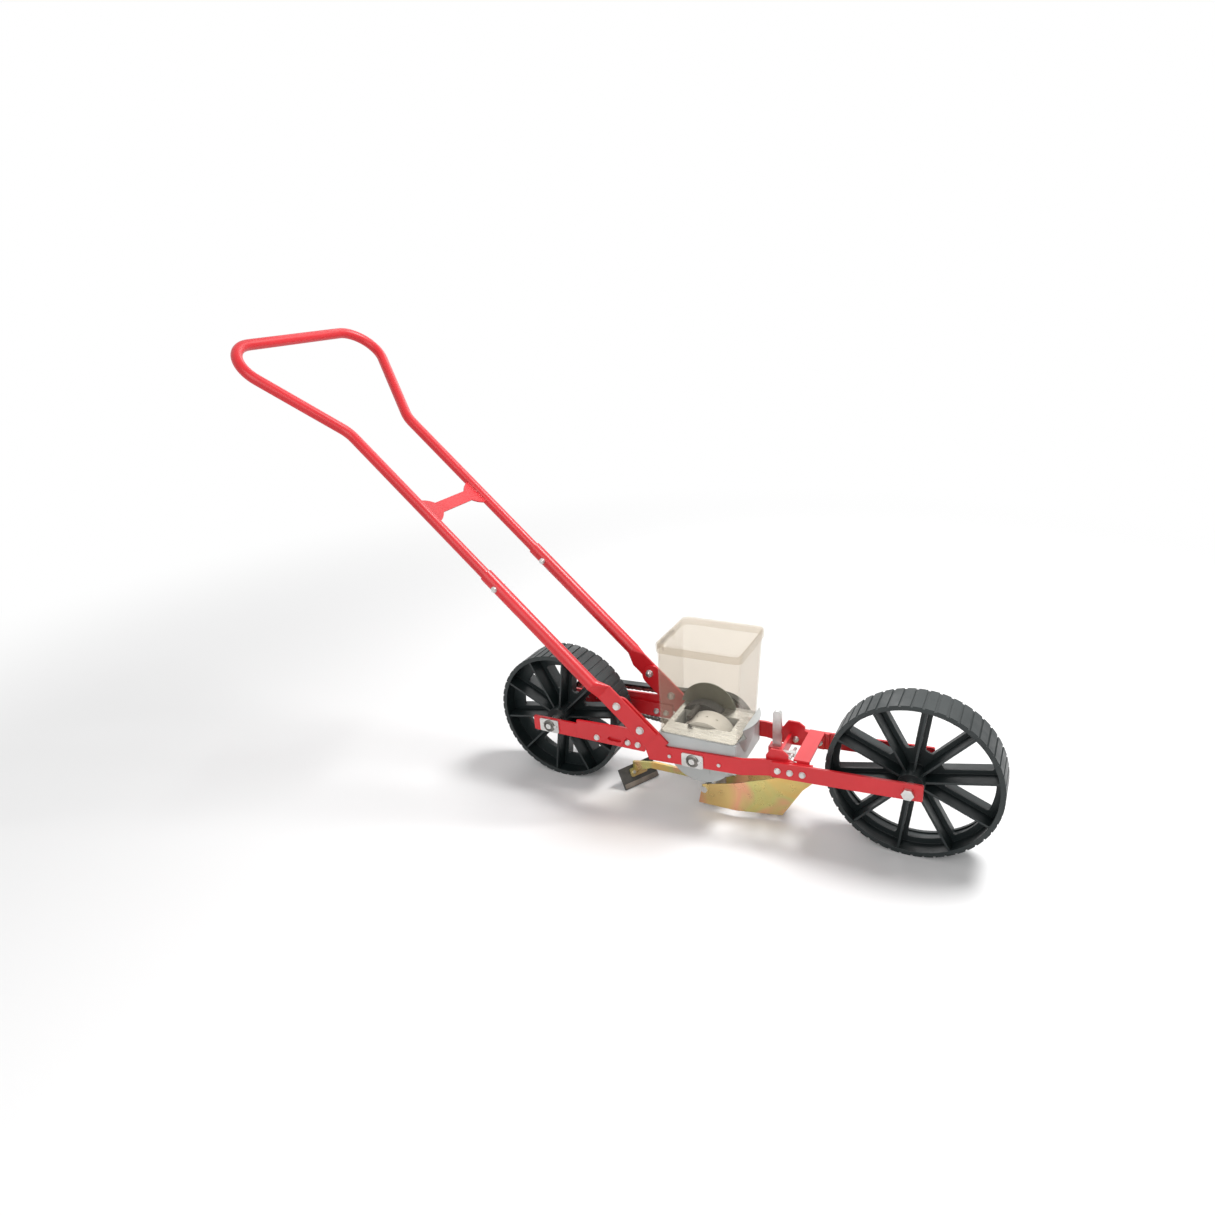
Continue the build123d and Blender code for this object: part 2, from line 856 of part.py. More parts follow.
# Rear wheel, fixed on the axle that drives the chain
rear_blank = build_wheel(
    rear_x, rear_z, rear_wheel_width, rear_wheel_radius, rear_web_ring, rear_spoke_start
)
save(bore_wheel(rear_blank, rear_x, rear_z, shaft_radius), "rear_wheel")
axle_right = rear_arm_outer + bearing_plate_thickness + 4
axle_left = chain_plane_y + 5
save(build_rod(rear_x, rear_z, shaft_radius, -axle_right, axle_left), "rear_axle")
save(
    group(
        build_tube(rear_x, rear_z, spacer_radius, shaft_radius, side * hub_length / 2,
                   side * (rear_arm_inner - end_clearance))
        for side in sides.values()
    ),
    "wheel_spacers",
)


def build_sprocket(x, z, pitch_radius, teeth, hub_start):
    """Toothed disc on the chain's plane with a hub towards the frame."""
    middle = side_plane(1, chain_plane_y)
    with BuildPart() as sprocket:
        with BuildSketch(middle):
            with Locations((x, z)):
                Circle(pitch_radius + tooth_height - tooth_clearance)
                with PolarLocations(pitch_radius, teeth):
                    Circle(chain_roller_radius + tooth_clearance, mode=Mode.SUBTRACT)
        extrude(amount=sprocket_thickness / 2, both=True)
        with BuildSketch(side_plane(1, hub_start)):
            with Locations((x, z)):
                Circle(12)
        extrude(amount=-(chain_plane_y - hub_start))
        with BuildSketch(side_plane(1, hub_start)):
            with Locations((x, z)):
                Circle(shaft_radius)
        extrude(amount=-2 * (chain_plane_y - hub_start), mode=Mode.SUBTRACT)
    return sprocket.part


save(
    build_sprocket(rear_x, rear_z, drive_pitch_radius, drive_teeth, plate_outer + 3),
    "drive_sprocket",
)
save(
    build_sprocket(roller_x, roller_z, driven_pitch_radius, driven_teeth, plate_outer + 6),
    "roller_sprocket",
)

# Chain: two rows of side plates joined by the pins that lie clear of the teeth
chain_angle = atan2(roller_z - rear_z, roller_x - rear_x)


def run_point(step, branch):
    """Pin of the upper (+1) or lower (-1) run, counted from the drive sprocket."""
    start_x = -drive_end_along
    start_z = branch * drive_end_across
    end_x = shaft_distance
    end_z = branch * driven_pitch_radius
    share = step / run_links
    along = start_x + (end_x - start_x) * share
    across = start_z + (end_z - start_z) * share
    return (
        rear_x + along * cos(chain_angle) - across * sin(chain_angle),
        rear_z + along * sin(chain_angle) + across * cos(chain_angle),
    )


pin_places = [
    run_point(step, branch) for branch in (-1, 1) for step in range(2, run_links - 3, 2)
]
with BuildPart() as drive_chain:
    for row in (-1, 1):
        row_y = chain_plane_y + row * (chain_roller_half + 0.2 + link_plate / 2)
        with BuildSketch(side_plane(1, row_y)):
            with Locations((rear_x, rear_z)):
                Circle(drive_pitch_radius + link_height / 2)
            with Locations((roller_x, roller_z)):
                Circle(driven_pitch_radius + link_height / 2)
            make_hull()
        extrude(amount=link_plate / 2, both=True)
        with BuildSketch(side_plane(1, row_y)):
            with Locations((rear_x, rear_z)):
                Circle(drive_pitch_radius - link_height / 2)
            with Locations((roller_x, roller_z)):
                Circle(driven_pitch_radius - link_height / 2)
            make_hull()
        extrude(amount=link_plate / 2, both=True, mode=Mode.SUBTRACT)
    with BuildSketch(side_plane(1, chain_plane_y)):
        with Locations(*pin_places):
            Circle(chain_roller_radius)
    extrude(amount=chain_roller_half + 0.2, both=True)
save(drive_chain.part, "drive_chain")

# Seed roller on its shaft
save(
    build_rod(roller_x, roller_z, shaft_radius, -(plate_outer + 7), axle_left),
    "roller_shaft",
)
with BuildPart() as seed_roller:
    with BuildSketch(side_plane(1, 0)):
        with Locations((roller_x, roller_z)):
            Circle(seed_roller_radius)
            Circle(shaft_radius, mode=Mode.SUBTRACT)
    extrude(amount=seed_roller_width / 2, both=True)
    for index in range(cell_count):
        angle = radians(360 / cell_count * index)
        with Locations(
            (
                roller_x + seed_roller_radius * cos(angle),
                0,
                roller_z + seed_roller_radius * sin(angle),
            )
        ):
            Sphere(cell_radius, mode=Mode.SUBTRACT)
save(seed_roller.part, "seed_roller")

# Seed housing: box between the side plates, round belly and curved nose
box_rear = roller_x - housing_rear
box_front = roller_x + housing_front
with BuildPart() as roller_housing:
    with BuildSketch(Plane.XY.offset(belly_joint)):
        with Locations(((box_rear + box_front) / 2, 0)):
            Rectangle(box_front - box_rear, 2 * housing_half_width)
    extrude(amount=housing_top - belly_joint)
    with BuildSketch(Plane.XZ):
        with Locations((roller_x, roller_z)):
            Circle(roller_z - belly_bottom)
    extrude(amount=belly_half_width, both=True)
    for height, back, half in (
        (housing_lip_top, 0.0, housing_half_width - 5),
        (belly_bottom + 20, 40.0, belly_half_width),
    ):
        with BuildSketch(Plane.XY.offset(height)):
            with BuildLine():
                Polyline(
                    (roller_x + housing_front - back + 2, -half),
                    (roller_x + 20, -half),
                    (roller_x + 20, half),
                    (roller_x + housing_front - back - 16, half),
                )
                ThreePointArc(
                    (roller_x + housing_front - back - 16, half),
                    (roller_x + housing_nose - back + 8, -5),
                    (roller_x + housing_front - back + 2, -half),
                )
            make_face()
    loft()
    with BuildSketch(Plane.XY.offset(housing_top)):
        with Locations((box_front - 100, 0)):
            Rectangle(200 + 2 * (hopper_front_top - hopper_front_bottom), 3 * housing_half_width)
    extrude(amount=100, mode=Mode.SUBTRACT)
    with BuildSketch(Plane.XZ):
        with Locations((roller_x, roller_z)):
            Circle(seed_roller_radius + roller_gap)
        with Locations((roller_x, roller_z + 50)):
            Rectangle(2 * (seed_roller_radius + roller_gap), 100)
    extrude(amount=seed_roller_width / 2 + 2, both=True, mode=Mode.SUBTRACT)
    with BuildSketch(Plane.XZ):
        with Locations((roller_x, roller_z)):
            Circle(shaft_radius + 0.4)
    extrude(amount=2 * housing_half_width, both=True, mode=Mode.SUBTRACT)
    with BuildSketch(Plane.XY.offset(roller_z)):
        with Locations((roller_x + chute_offset, 0)):
            Circle(chute_radius)
    extrude(amount=-2 * seed_roller_radius, mode=Mode.SUBTRACT)
with BuildPart() as housing_bored:
    add(roller_housing.part)
    with BuildSketch(side_plane(1, housing_half_width - 8)):
        with Locations(guard_front_place):
            Circle(screw_radius + bolt_clearance)
    extrude(amount=-10, mode=Mode.SUBTRACT)
save(
    cut_holes(housing_bored.part, housing_screw_places, screw_radius + bolt_clearance),
    "roller_housing",
)

# Seed chute under the belly
chute_top = roller_z - sqrt((roller_z - belly_bottom) ** 2 - (chute_offset - chute_radius) ** 2)
with BuildPart() as seed_chute:
    with BuildSketch(Plane.XY.offset(chute_bottom)):
        with Locations((roller_x + chute_offset, 0)):
            Circle(chute_radius)
            Circle(chute_radius - chute_wall, mode=Mode.SUBTRACT)
    extrude(amount=chute_top - chute_bottom + 10)
save(seed_chute.part, "seed_chute")

# Hopper: clear tapered box, open at the bottom over the roller
hopper_rear_x = roller_x - hopper_rear
top_front_x = roller_x + hopper_front_top
low_front_x = roller_x + hopper_front_bottom
with BuildPart() as hopper:
    for wall, mode in ((0.0, Mode.ADD), (hopper_wall, Mode.SUBTRACT)):
        for height, front, far in (
            (hopper_bottom, low_front_x, hopper_far_bottom),
            (hopper_top, top_front_x, hopper_half_width),
        ):
            with BuildSketch(Plane.XY.offset(height)):
                with Locations(
                    ((hopper_rear_x + front) / 2, (far - hopper_half_width) / 2),
                ):
                    RectangleRounded(
                        front - hopper_rear_x - 2 * wall,
                        far + hopper_half_width - 2 * wall,
                        hopper_corner - wall,
                    )
        loft(mode=mode)
    for side in sides.values():
        with BuildSketch(side_plane(side, knuckle_half + end_clearance)):
            Polygon(
                (hopper_rear_x + 1, hinge_height - 18),
                (hopper_rear_x + 1, hinge_height - 1.5),
                (roller_x - hinge_back - 3, hinge_height - 1.5),
                align=None,
            )
            with Locations((roller_x - hinge_back, hinge_height)):
                Circle(knuckle_radius)
        extrude(amount=-side * ear_length)
    with BuildSketch(side_plane(1, 0)):
        with Locations((roller_x - hinge_back, hinge_height)):
            Circle(hinge_pin_radius)
    extrude(amount=2 * knuckle_half, both=True, mode=Mode.SUBTRACT)
save(hopper.part, "hopper")
save(
    build_rod(roller_x - hinge_back, hinge_height, hinge_pin_radius,
              -(knuckle_half + ear_length + 1), knuckle_half + ear_length + 1),
    "lid_hinge_pin",
)

# Lid with a skirt over the hopper's rim
lid_gap = lid_side_gap + lid_wall
lid_length = top_front_x - hopper_rear_x + 2 * lid_gap
lid_breadth = 2 * (hopper_half_width + lid_gap)
lid_middle = ((hopper_rear_x + top_front_x) / 2, 0)
with BuildPart() as hopper_lid:
    with BuildSketch(Plane.XY.offset(lid_top - lid_skirt)):
        with Locations(lid_middle):
            RectangleRounded(lid_length, lid_breadth, hopper_corner + lid_gap)
    extrude(amount=lid_skirt)
    fillet(hopper_lid.faces().sort_by(Axis.Z)[-1].edges(), radius=lid_round)
    with BuildSketch(Plane.XY.offset(lid_top - lid_skirt)):
        with Locations(lid_middle):
            RectangleRounded(
                lid_length - 2 * lid_wall, lid_breadth - 2 * lid_wall, hopper_corner + lid_side_gap
            )
    extrude(amount=lid_skirt - lid_wall, mode=Mode.SUBTRACT)
    with BuildSketch(side_plane(1, 0)):
        with Locations((roller_x - hinge_back, hinge_height)):
            Circle(knuckle_radius)
        Polygon(
            (roller_x - hinge_back, hinge_height + knuckle_radius),
            (hopper_rear_x - lid_gap + 1, hinge_height + knuckle_radius + 3),
            (hopper_rear_x - lid_gap + 1, hinge_height),
            (roller_x - hinge_back, hinge_height - 1),
            align=None,
        )
    extrude(amount=knuckle_half, both=True)
    with BuildSketch(side_plane(1, 0)):
        with Locations((roller_x - hinge_back, hinge_height)):
            Circle(hinge_pin_radius + running_clearance)
    extrude(amount=2 * knuckle_half, both=True, mode=Mode.SUBTRACT)
save(hopper_lid.part, "hopper_lid")

# Sheet floor of the hopper with the opening over the roller
with BuildPart() as hopper_floor:
    with BuildSketch(Plane.XY.offset(hopper_bottom - floor_sheet)):
        with Locations(
            ((hopper_rear_x + low_front_x) / 2, (hopper_far_bottom - hopper_half_width) / 2)
        ):
            RectangleRounded(
                low_front_x - hopper_rear_x - 2, hopper_far_bottom + hopper_half_width - 2, 10
            )
        with Locations((roller_x, 0)):
            Rectangle(2 * slot_half_length, seed_roller_width + 4, mode=Mode.SUBTRACT)
    extrude(amount=floor_sheet)
save(hopper_floor.part, "hopper_floor")

# Arched panel behind the hopper's far wall
panel_x = roller_x - panel_back
with BuildPart() as far_panel:
    with BuildSketch(side_plane(1, hopper_far_bottom + 6.2)):
        with Locations((panel_x, housing_top - 10)):
            Circle(59)
        with Locations((panel_x, housing_top - 100)):
            Rectangle(200, 200, mode=Mode.SUBTRACT)
    extrude(amount=2)
save(far_panel.part, "far_panel")

# Brush holder beside the roller and the brush that wipes it
with BuildPart() as brush_holder:
    with BuildSketch(side_plane(1, seed_roller_width / 2 + 2.3)):
        with Locations((panel_x, roller_z + 9)):
            Circle(seed_roller_radius)
        with Locations((panel_x, hopper_bottom - 100)):
            Rectangle(300, 200, mode=Mode.SUBTRACT)
    extrude(amount=-24)
save(brush_holder.part, "brush_holder")
with BuildPart() as brush:
    with BuildSketch(Plane.XY.offset(roller_z + 30)):
        with Locations((roller_x - 28, 1.5)):
            Rectangle(9, seed_roller_width + 0.6)
    extrude(amount=33)
    with BuildSketch(Plane.XZ):
        with Locations((roller_x, roller_z)):
            Circle(seed_roller_radius + 0.4)
    extrude(amount=100, both=True, mode=Mode.SUBTRACT)
save(brush.part, "brush")

# Chain guard: rounded cover over both sprockets and the upper run
guard_line_rear = run_point(4, 1)
guard_line_front = run_point(run_links, 1)


def guard_outline(shrink):
    """Round lobes and the bar between them, smaller all round by the shrink."""
    with Locations(axle_place):
        Circle(guard_rear_radius - shrink)
    with Locations(roller_place):
        Circle(guard_front_radius - shrink)
    Polygon(
        (rear_x, rear_z + guard_rear_radius - shrink),
        (guard_line_rear[0] + 20, guard_line_rear[1] + guard_above_run - shrink),
        (guard_line_front[0], guard_line_front[1] + guard_above_run - shrink),
        (guard_line_front[0], roller_z + 20),
        (guard_line_front[0] - 40, guard_line_front[1] + guard_above_run - guard_bar),
        (guard_line_rear[0] + 5, guard_line_rear[1] + guard_above_run - guard_bar),
        (rear_x, rear_z),
        align=None,
    )


with BuildPart() as chain_guard:
    with BuildSketch(side_plane(1, guard_inner)):
        guard_outline(0)
        with Locations(guard_rear_place):
            Circle(guard_boss_radius + 3)
    extrude(amount=-(guard_outer - guard_inner))
    with BuildSketch(side_plane(1, guard_inner)):
        guard_outline(guard_sheet)
        Polygon(
            (rear_x, rear_z - 80),
            (rear_x, rear_z + 20),
            (guard_line_rear[0] + 20, guard_line_rear[1] + guard_above_run - guard_sheet),
            (guard_line_front[0] - 15, guard_line_front[1] + guard_above_run - guard_sheet),
            (roller_x, roller_z - 90),
            align=None,
        )
    extrude(amount=-(guard_outer - guard_inner - guard_sheet), mode=Mode.SUBTRACT)
    with BuildSketch(side_plane(1, rear_arm_outer)):
        with Locations(guard_rear_place):
            Circle(guard_boss_radius)
    extrude(amount=-(guard_outer - guard_sheet - rear_arm_outer))
    with BuildSketch(side_plane(1, plate_outer)):
        with Locations(guard_front_place):
            Circle(guard_boss_radius - 1)
    extrude(amount=-(guard_outer - guard_sheet - plate_outer))
save(
    cut_holes(
        chain_guard.part, [guard_rear_place, guard_front_place], screw_radius + bolt_clearance
    ),
    "chain_guard",
)

# Front wheel on its bolt
front_blank = build_wheel(
    front_x, front_z, front_wheel_width, front_wheel_radius, front_web_ring, front_spoke_start
)
save(bore_wheel(front_blank, front_x, front_z, shaft_radius + running_clearance), "front_wheel")
with BuildPart() as front_axle:
    with BuildSketch(side_plane(-1, front_arm_outer)):
        with Locations((front_x, front_z)):
            RegularPolygon(9.5, 6, major_radius=False)
    extrude(amount=7)
    with BuildSketch(side_plane(-1, front_arm_outer)):
        with Locations((front_x, front_z)):
            Circle(shaft_radius)
    extrude(amount=-(2 * front_arm_outer + 12))
save(front_axle.part, "front_axle")
save(
    build_nut(front_x, front_z, -1, -front_arm_outer, shaft_radius, 19, 9),
    "front_axle_nut",
)
save(
    group(
        build_tube(front_x, front_z, spacer_radius, shaft_radius + running_clearance,
                   side * (hub_length / 2 + end_clearance), side * front_plate_outer)
        for side in sides.values()
    ),
    "front_spacers",
)

# Opener's shank: flat bar with a rounded top
with BuildPart() as opener_shank:
    with BuildSketch(Plane.XY.offset(shank_bottom)):
        with Locations((shank_x, 0)):
            Rectangle(shank_length_x, shank_width_y)
    extrude(amount=shank_top - shank_bottom)
    fillet(
        opener_shank.faces().sort_by(Axis.Z)[-1].edges().filter_by(Axis.Y),
        radius=shank_length_x / 2 - 1,
    )
save(opener_shank.part, "opener_shank")

# Furrow opener: two wings that meet in a raised nose, with a web that holds the shank
wing_rear = roller_x - opener_rear
wing_bend = roller_x + opener_bend
nose_x = roller_x + opener_nose
web_x = shank_x - shank_length_x / 2 - 4
web_half = opener_nose_half + (nose_x - web_x) / (nose_x - wing_bend) * (
    opener_half_width - opener_nose_half
)
opener_bolt_x = roller_x + cover_pivot_offset
with BuildPart() as furrow_opener:
    with BuildSketch(Plane.XZ):
        Polygon(
            (wing_rear + 8, opener_rear_top),
            (wing_rear, opener_bottom),
            (roller_x + 160, opener_bottom),
            (roller_x + 196, opener_bottom + 60),
            (nose_x + 5, opener_front_top - 10),
            (nose_x + 5, opener_front_top),
            align=None,
        )
    extrude(amount=2 * opener_half_width, both=True)
    with BuildSketch(Plane.XY):
        with BuildLine():
            FilletPolyline(
                (wing_rear - 5, -opener_half_width),
                (wing_bend, -opener_half_width),
                (nose_x, -opener_nose_half),
                (nose_x, opener_nose_half),
                (wing_bend, opener_half_width),
                (wing_rear - 5, opener_half_width),
                radius=4,
            )
        trace(line_width=opener_sheet)
    extrude(amount=300, mode=Mode.INTERSECT)
    with BuildSketch(Plane.XY.offset(shank_bottom)):
        with Locations((web_x + 2, 0)):
            Rectangle(4, 2 * web_half - opener_sheet + 1)
    extrude(amount=36)
save(
    cut_holes(
        furrow_opener.part, [(opener_bolt_x, cover_pivot_height)], bolt_radius + bolt_clearance
    ),
    "furrow_opener",
)
wing_outer = opener_half_width + opener_sheet / 2
save(
    build_bolt(opener_bolt_x, cover_pivot_height, -1, wing_outer, 2 * wing_outer + 9,
               bolt_radius, bolt_head_flats, bolt_head_height),
    "opener_bolt",
)
save(
    build_nut(opener_bolt_x, cover_pivot_height, -1, -wing_outer, bolt_radius,
              bolt_head_flats, nut_height),
    "opener_nut",
)
arm_half = cover_arm_thickness / 2
save(
    group(
        build_tube(opener_bolt_x, cover_pivot_height, 5.5, bolt_radius + running_clearance,
                   side * (arm_half + end_clearance),
                   side * (opener_half_width - opener_sheet / 2 - end_clearance))
        for side in sides.values()
    ),
    "pivot_spacers",
)

# Covering plate: slanted and skewed board on a trailing arm
board_x = roller_x - cover_offset
board_plane = Plane(
    origin=(board_x, 0, ground_gap + cover_plate_height / 2 * cos(radians(cover_tilt))),
    x_dir=(sin(radians(cover_skew)), cos(radians(cover_skew)), 0),
    z_dir=(
        cos(radians(cover_skew)) * cos(radians(cover_tilt)),
        -sin(radians(cover_skew)) * cos(radians(cover_tilt)),
        sin(radians(cover_tilt)),
    ),
)
board_holes = [(-12, 6), (12, 6)]
with BuildPart() as covering_plate:
    with BuildSketch(board_plane):
        Rectangle(cover_plate_width, cover_plate_height - 2)
        with Locations(*board_holes):
            Circle(screw_radius + bolt_clearance, mode=Mode.SUBTRACT)
    extrude(amount=-cover_plate_thickness)
save(covering_plate.part, "covering_plate")
with BuildPart() as covering_arm:
    with BuildSketch(side_plane(1, 0)):
        Polygon(
            (opener_bolt_x + 2, cover_pivot_height - cover_arm_height / 2),
            (opener_bolt_x + 2, cover_pivot_height + cover_arm_height / 2),
            (board_x + 40, cover_pivot_height + cover_arm_height / 2 + 2),
            (board_x - 12, ground_gap + cover_plate_height),
            (board_x - 12, ground_gap + cover_plate_height / 2),
            (board_x + 30, cover_pivot_height - cover_arm_height / 2),
            align=None,
        )
        with Locations((opener_bolt_x, cover_pivot_height)):
            Circle(cover_arm_height / 2)
    extrude(amount=arm_half, both=True)
    with BuildSketch(board_plane):
        with Locations((0, 6)):
            RectangleRounded(40, 18, 4)
    extrude(amount=3)
    with BuildSketch(board_plane):
        Rectangle(200, 200)
    extrude(amount=-60, mode=Mode.SUBTRACT)
    with BuildSketch(board_plane):
        with Locations(*board_holes):
            Circle(screw_radius + bolt_clearance)
    extrude(amount=20, mode=Mode.SUBTRACT)
save(
    cut_holes(
        covering_arm.part, [(opener_bolt_x, cover_pivot_height)], bolt_radius + running_clearance
    ),
    "covering_arm",
)
with BuildPart() as covering_screws:
    with BuildSketch(board_plane.offset(3)):
        with Locations(*board_holes):
            Circle(screw_head_radius)
    extrude(amount=screw_head_height)
    with BuildSketch(board_plane.offset(3)):
        with Locations(*board_holes):
            Circle(screw_radius)
    extrude(amount=-(cover_plate_thickness + 3))
save(covering_screws.part, "covering_screws")
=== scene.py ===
import json
import math
import random

import bmesh
import bpy
from mathutils import Matrix, Vector


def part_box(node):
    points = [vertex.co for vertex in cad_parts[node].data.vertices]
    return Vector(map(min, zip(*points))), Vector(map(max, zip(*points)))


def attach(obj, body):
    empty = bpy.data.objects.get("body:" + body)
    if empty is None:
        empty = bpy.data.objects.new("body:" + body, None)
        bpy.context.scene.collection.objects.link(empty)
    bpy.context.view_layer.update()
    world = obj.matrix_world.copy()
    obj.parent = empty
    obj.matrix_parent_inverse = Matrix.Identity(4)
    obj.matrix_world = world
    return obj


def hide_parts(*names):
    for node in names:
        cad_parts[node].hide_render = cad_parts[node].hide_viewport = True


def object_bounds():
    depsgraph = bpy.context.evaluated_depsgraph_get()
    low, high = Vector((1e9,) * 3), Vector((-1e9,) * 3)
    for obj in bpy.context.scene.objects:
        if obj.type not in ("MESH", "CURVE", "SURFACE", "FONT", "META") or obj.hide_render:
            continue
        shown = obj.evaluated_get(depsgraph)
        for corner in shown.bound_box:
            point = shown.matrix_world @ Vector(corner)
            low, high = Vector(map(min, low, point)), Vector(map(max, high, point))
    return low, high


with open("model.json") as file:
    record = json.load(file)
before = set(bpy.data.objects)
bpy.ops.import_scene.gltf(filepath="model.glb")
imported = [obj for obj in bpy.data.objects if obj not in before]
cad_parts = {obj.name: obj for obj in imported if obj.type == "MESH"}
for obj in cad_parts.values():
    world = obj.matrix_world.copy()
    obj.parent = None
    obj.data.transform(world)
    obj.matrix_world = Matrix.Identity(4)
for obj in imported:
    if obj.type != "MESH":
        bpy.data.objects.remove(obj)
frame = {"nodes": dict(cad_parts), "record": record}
size_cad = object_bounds()
nodes = frame["nodes"]


def centre(name):
    """Middle of a CAD node's box."""
    low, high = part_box(name)
    return (Vector(low) + Vector(high)) / 2


rear = centre("rear_wheel")
roller = centre("seed_roller")

# Camera fitted to the photo, with its place measured from below the rear axle
photo_pixels = 1215
focal_pixels = 851.3
sensor_width = 36
camera_offset = (0.8706, -1.3733, 1.0113)
yaw = math.radians(28.8)
pitch = math.radians(-21.6)
roll = math.radians(-3.9)
ahead = Vector((
    -math.sin(yaw) * math.cos(pitch), math.cos(yaw) * math.cos(pitch), math.sin(pitch)))
level = Vector((math.cos(yaw), math.sin(yaw), 0))
above = level.cross(ahead)
across = level * math.cos(roll) + above * math.sin(roll)
upward = above * math.cos(roll) - level * math.sin(roll)
place = Vector((rear.x, 0, 0)) + Vector(camera_offset)
camera_data = bpy.data.cameras.new("camera")
camera_data.sensor_width = sensor_width
camera_data.lens = focal_pixels * sensor_width / photo_pixels
camera_data.clip_end = 200
camera = bpy.data.objects.new("camera", camera_data)
bpy.context.scene.collection.objects.link(camera)
matrix = Matrix.Identity(4)
for row in range(3):
    matrix[row][0] = across[row]
    matrix[row][1] = upward[row]
    matrix[row][2] = -ahead[row]
    matrix[row][3] = place[row]
camera.matrix_world = matrix
bpy.context.scene.camera = camera
bpy.context.scene.view_settings.view_transform = "Standard"


# Materials
def new_material(name):
    """Empty node material with its surface shader."""
    material = bpy.data.materials.new(name)
    material.use_nodes = True
    tree = material.node_tree
    return material, tree, tree.nodes["Principled BSDF"]


def noise(tree, scale, detail=4.0, stretch=(1, 1, 1), distortion=0.0):
    """Noise in object space, stretched along the axes."""
    coordinates = tree.nodes.new("ShaderNodeTexCoord")
    mapping = tree.nodes.new("ShaderNodeMapping")
    mapping.inputs["Scale"].default_value = stretch
    texture = tree.nodes.new("ShaderNodeTexNoise")
    texture.inputs["Scale"].default_value = scale
    texture.inputs["Detail"].default_value = detail
    texture.inputs["Distortion"].default_value = distortion
    tree.links.new(coordinates.outputs["Object"], mapping.inputs["Vector"])
    tree.links.new(mapping.outputs["Vector"], texture.inputs["Vector"])
    return texture.outputs["Fac"]


def ramp(tree, source, stops):
    """Colour ramp over a value, from (position, colour) stops."""
    node = tree.nodes.new("ShaderNodeValToRGB")
    elements = node.color_ramp.elements
    while len(elements) < len(stops):
        elements.new(0.5)
    for element, (position, colour) in zip(elements, stops):
        element.position = position
        element.color = (*colour, 1)
    tree.links.new(source, node.inputs["Fac"])
    return node.outputs["Color"]


def span(tree, source, low, high):
    """Value moved into a range."""
    node = tree.nodes.new("ShaderNodeMapRange")
    node.inputs["From Min"].default_value = 0.3
    node.inputs["From Max"].default_value = 0.7
    node.inputs["To Min"].default_value = low
    node.inputs["To Max"].default_value = high
    tree.links.new(source, node.inputs["Value"])
    return node.outputs["Result"]


def blend_colour(tree, amount, first, second):
    """Mix of two colours by a value."""
    node = tree.nodes.new("ShaderNodeMix")
    node.data_type = "RGBA"
    tree.links.new(amount, node.inputs["Factor"])
    for socket, value in (("A", first), ("B", second)):
        target = [i for i in node.inputs if i.name == socket and i.type == "RGBA"][0]
        if isinstance(value, tuple):
            target.default_value = (*value, 1)
        else:
            tree.links.new(value, target)
    return [o for o in node.outputs if o.type == "RGBA"][0]


def relief(tree, shader, source, strength, distance, edge=0.0006):
    """Bump over softly rounded edges; an edge of 0 leaves round tubes as they are."""
    bump = tree.nodes.new("ShaderNodeBump")
    if edge:
        bevel = tree.nodes.new("ShaderNodeBevel")
        bevel.samples = 4
        bevel.inputs["Radius"].default_value = edge
        tree.links.new(bevel.outputs["Normal"], bump.inputs["Normal"])
    bump.inputs["Strength"].default_value = strength
    bump.inputs["Distance"].default_value = distance
    tree.links.new(source, bump.inputs["Height"])
    tree.links.new(bump.outputs["Normal"], shader.inputs["Normal"])


def edge_mask(tree, low, high):
    """1 on sharp outer edges, broken up by noise."""
    geometry = tree.nodes.new("ShaderNodeNewGeometry")
    node = tree.nodes.new("ShaderNodeMapRange")
    node.inputs["From Min"].default_value = low
    node.inputs["From Max"].default_value = high
    tree.links.new(geometry.outputs["Pointiness"], node.inputs["Value"])
    spots = noise(tree, 140, 6)
    multiply = tree.nodes.new("ShaderNodeMath")
    multiply.operation = "MULTIPLY"
    tree.links.new(node.outputs["Result"], multiply.inputs[0])
    tree.links.new(spots, multiply.inputs[1])
    return multiply.outputs["Value"]


def surface(name, low, high, rough, metallic=0.0, scale=30, grain=400, bump=0.1, depth=0.0002,
            stretch=(1, 1, 1), worn=None, coat=0.0, edge=0.0006):
    """Procedural surface: mottled colour, uneven gloss, fine grain and worn edges."""
    material, tree, shader = new_material(name)
    colour = ramp(tree, noise(tree, scale, 5, stretch), [(0.3, low), (0.7, high)])
    if worn:
        colour = blend_colour(tree, edge_mask(tree, 0.56, 0.72), colour, worn)
    tree.links.new(colour, shader.inputs["Base Color"])
    shader.inputs["Metallic"].default_value = metallic
    shader.inputs["Coat Weight"].default_value = coat
    shader.inputs["Coat Roughness"].default_value = 0.12
    gloss = span(tree, noise(tree, scale * 2.3, 6, stretch), rough[0], rough[1])
    tree.links.new(gloss, shader.inputs["Roughness"])
    relief(tree, shader, noise(tree, grain, 3, stretch), bump, depth, edge)
    return material


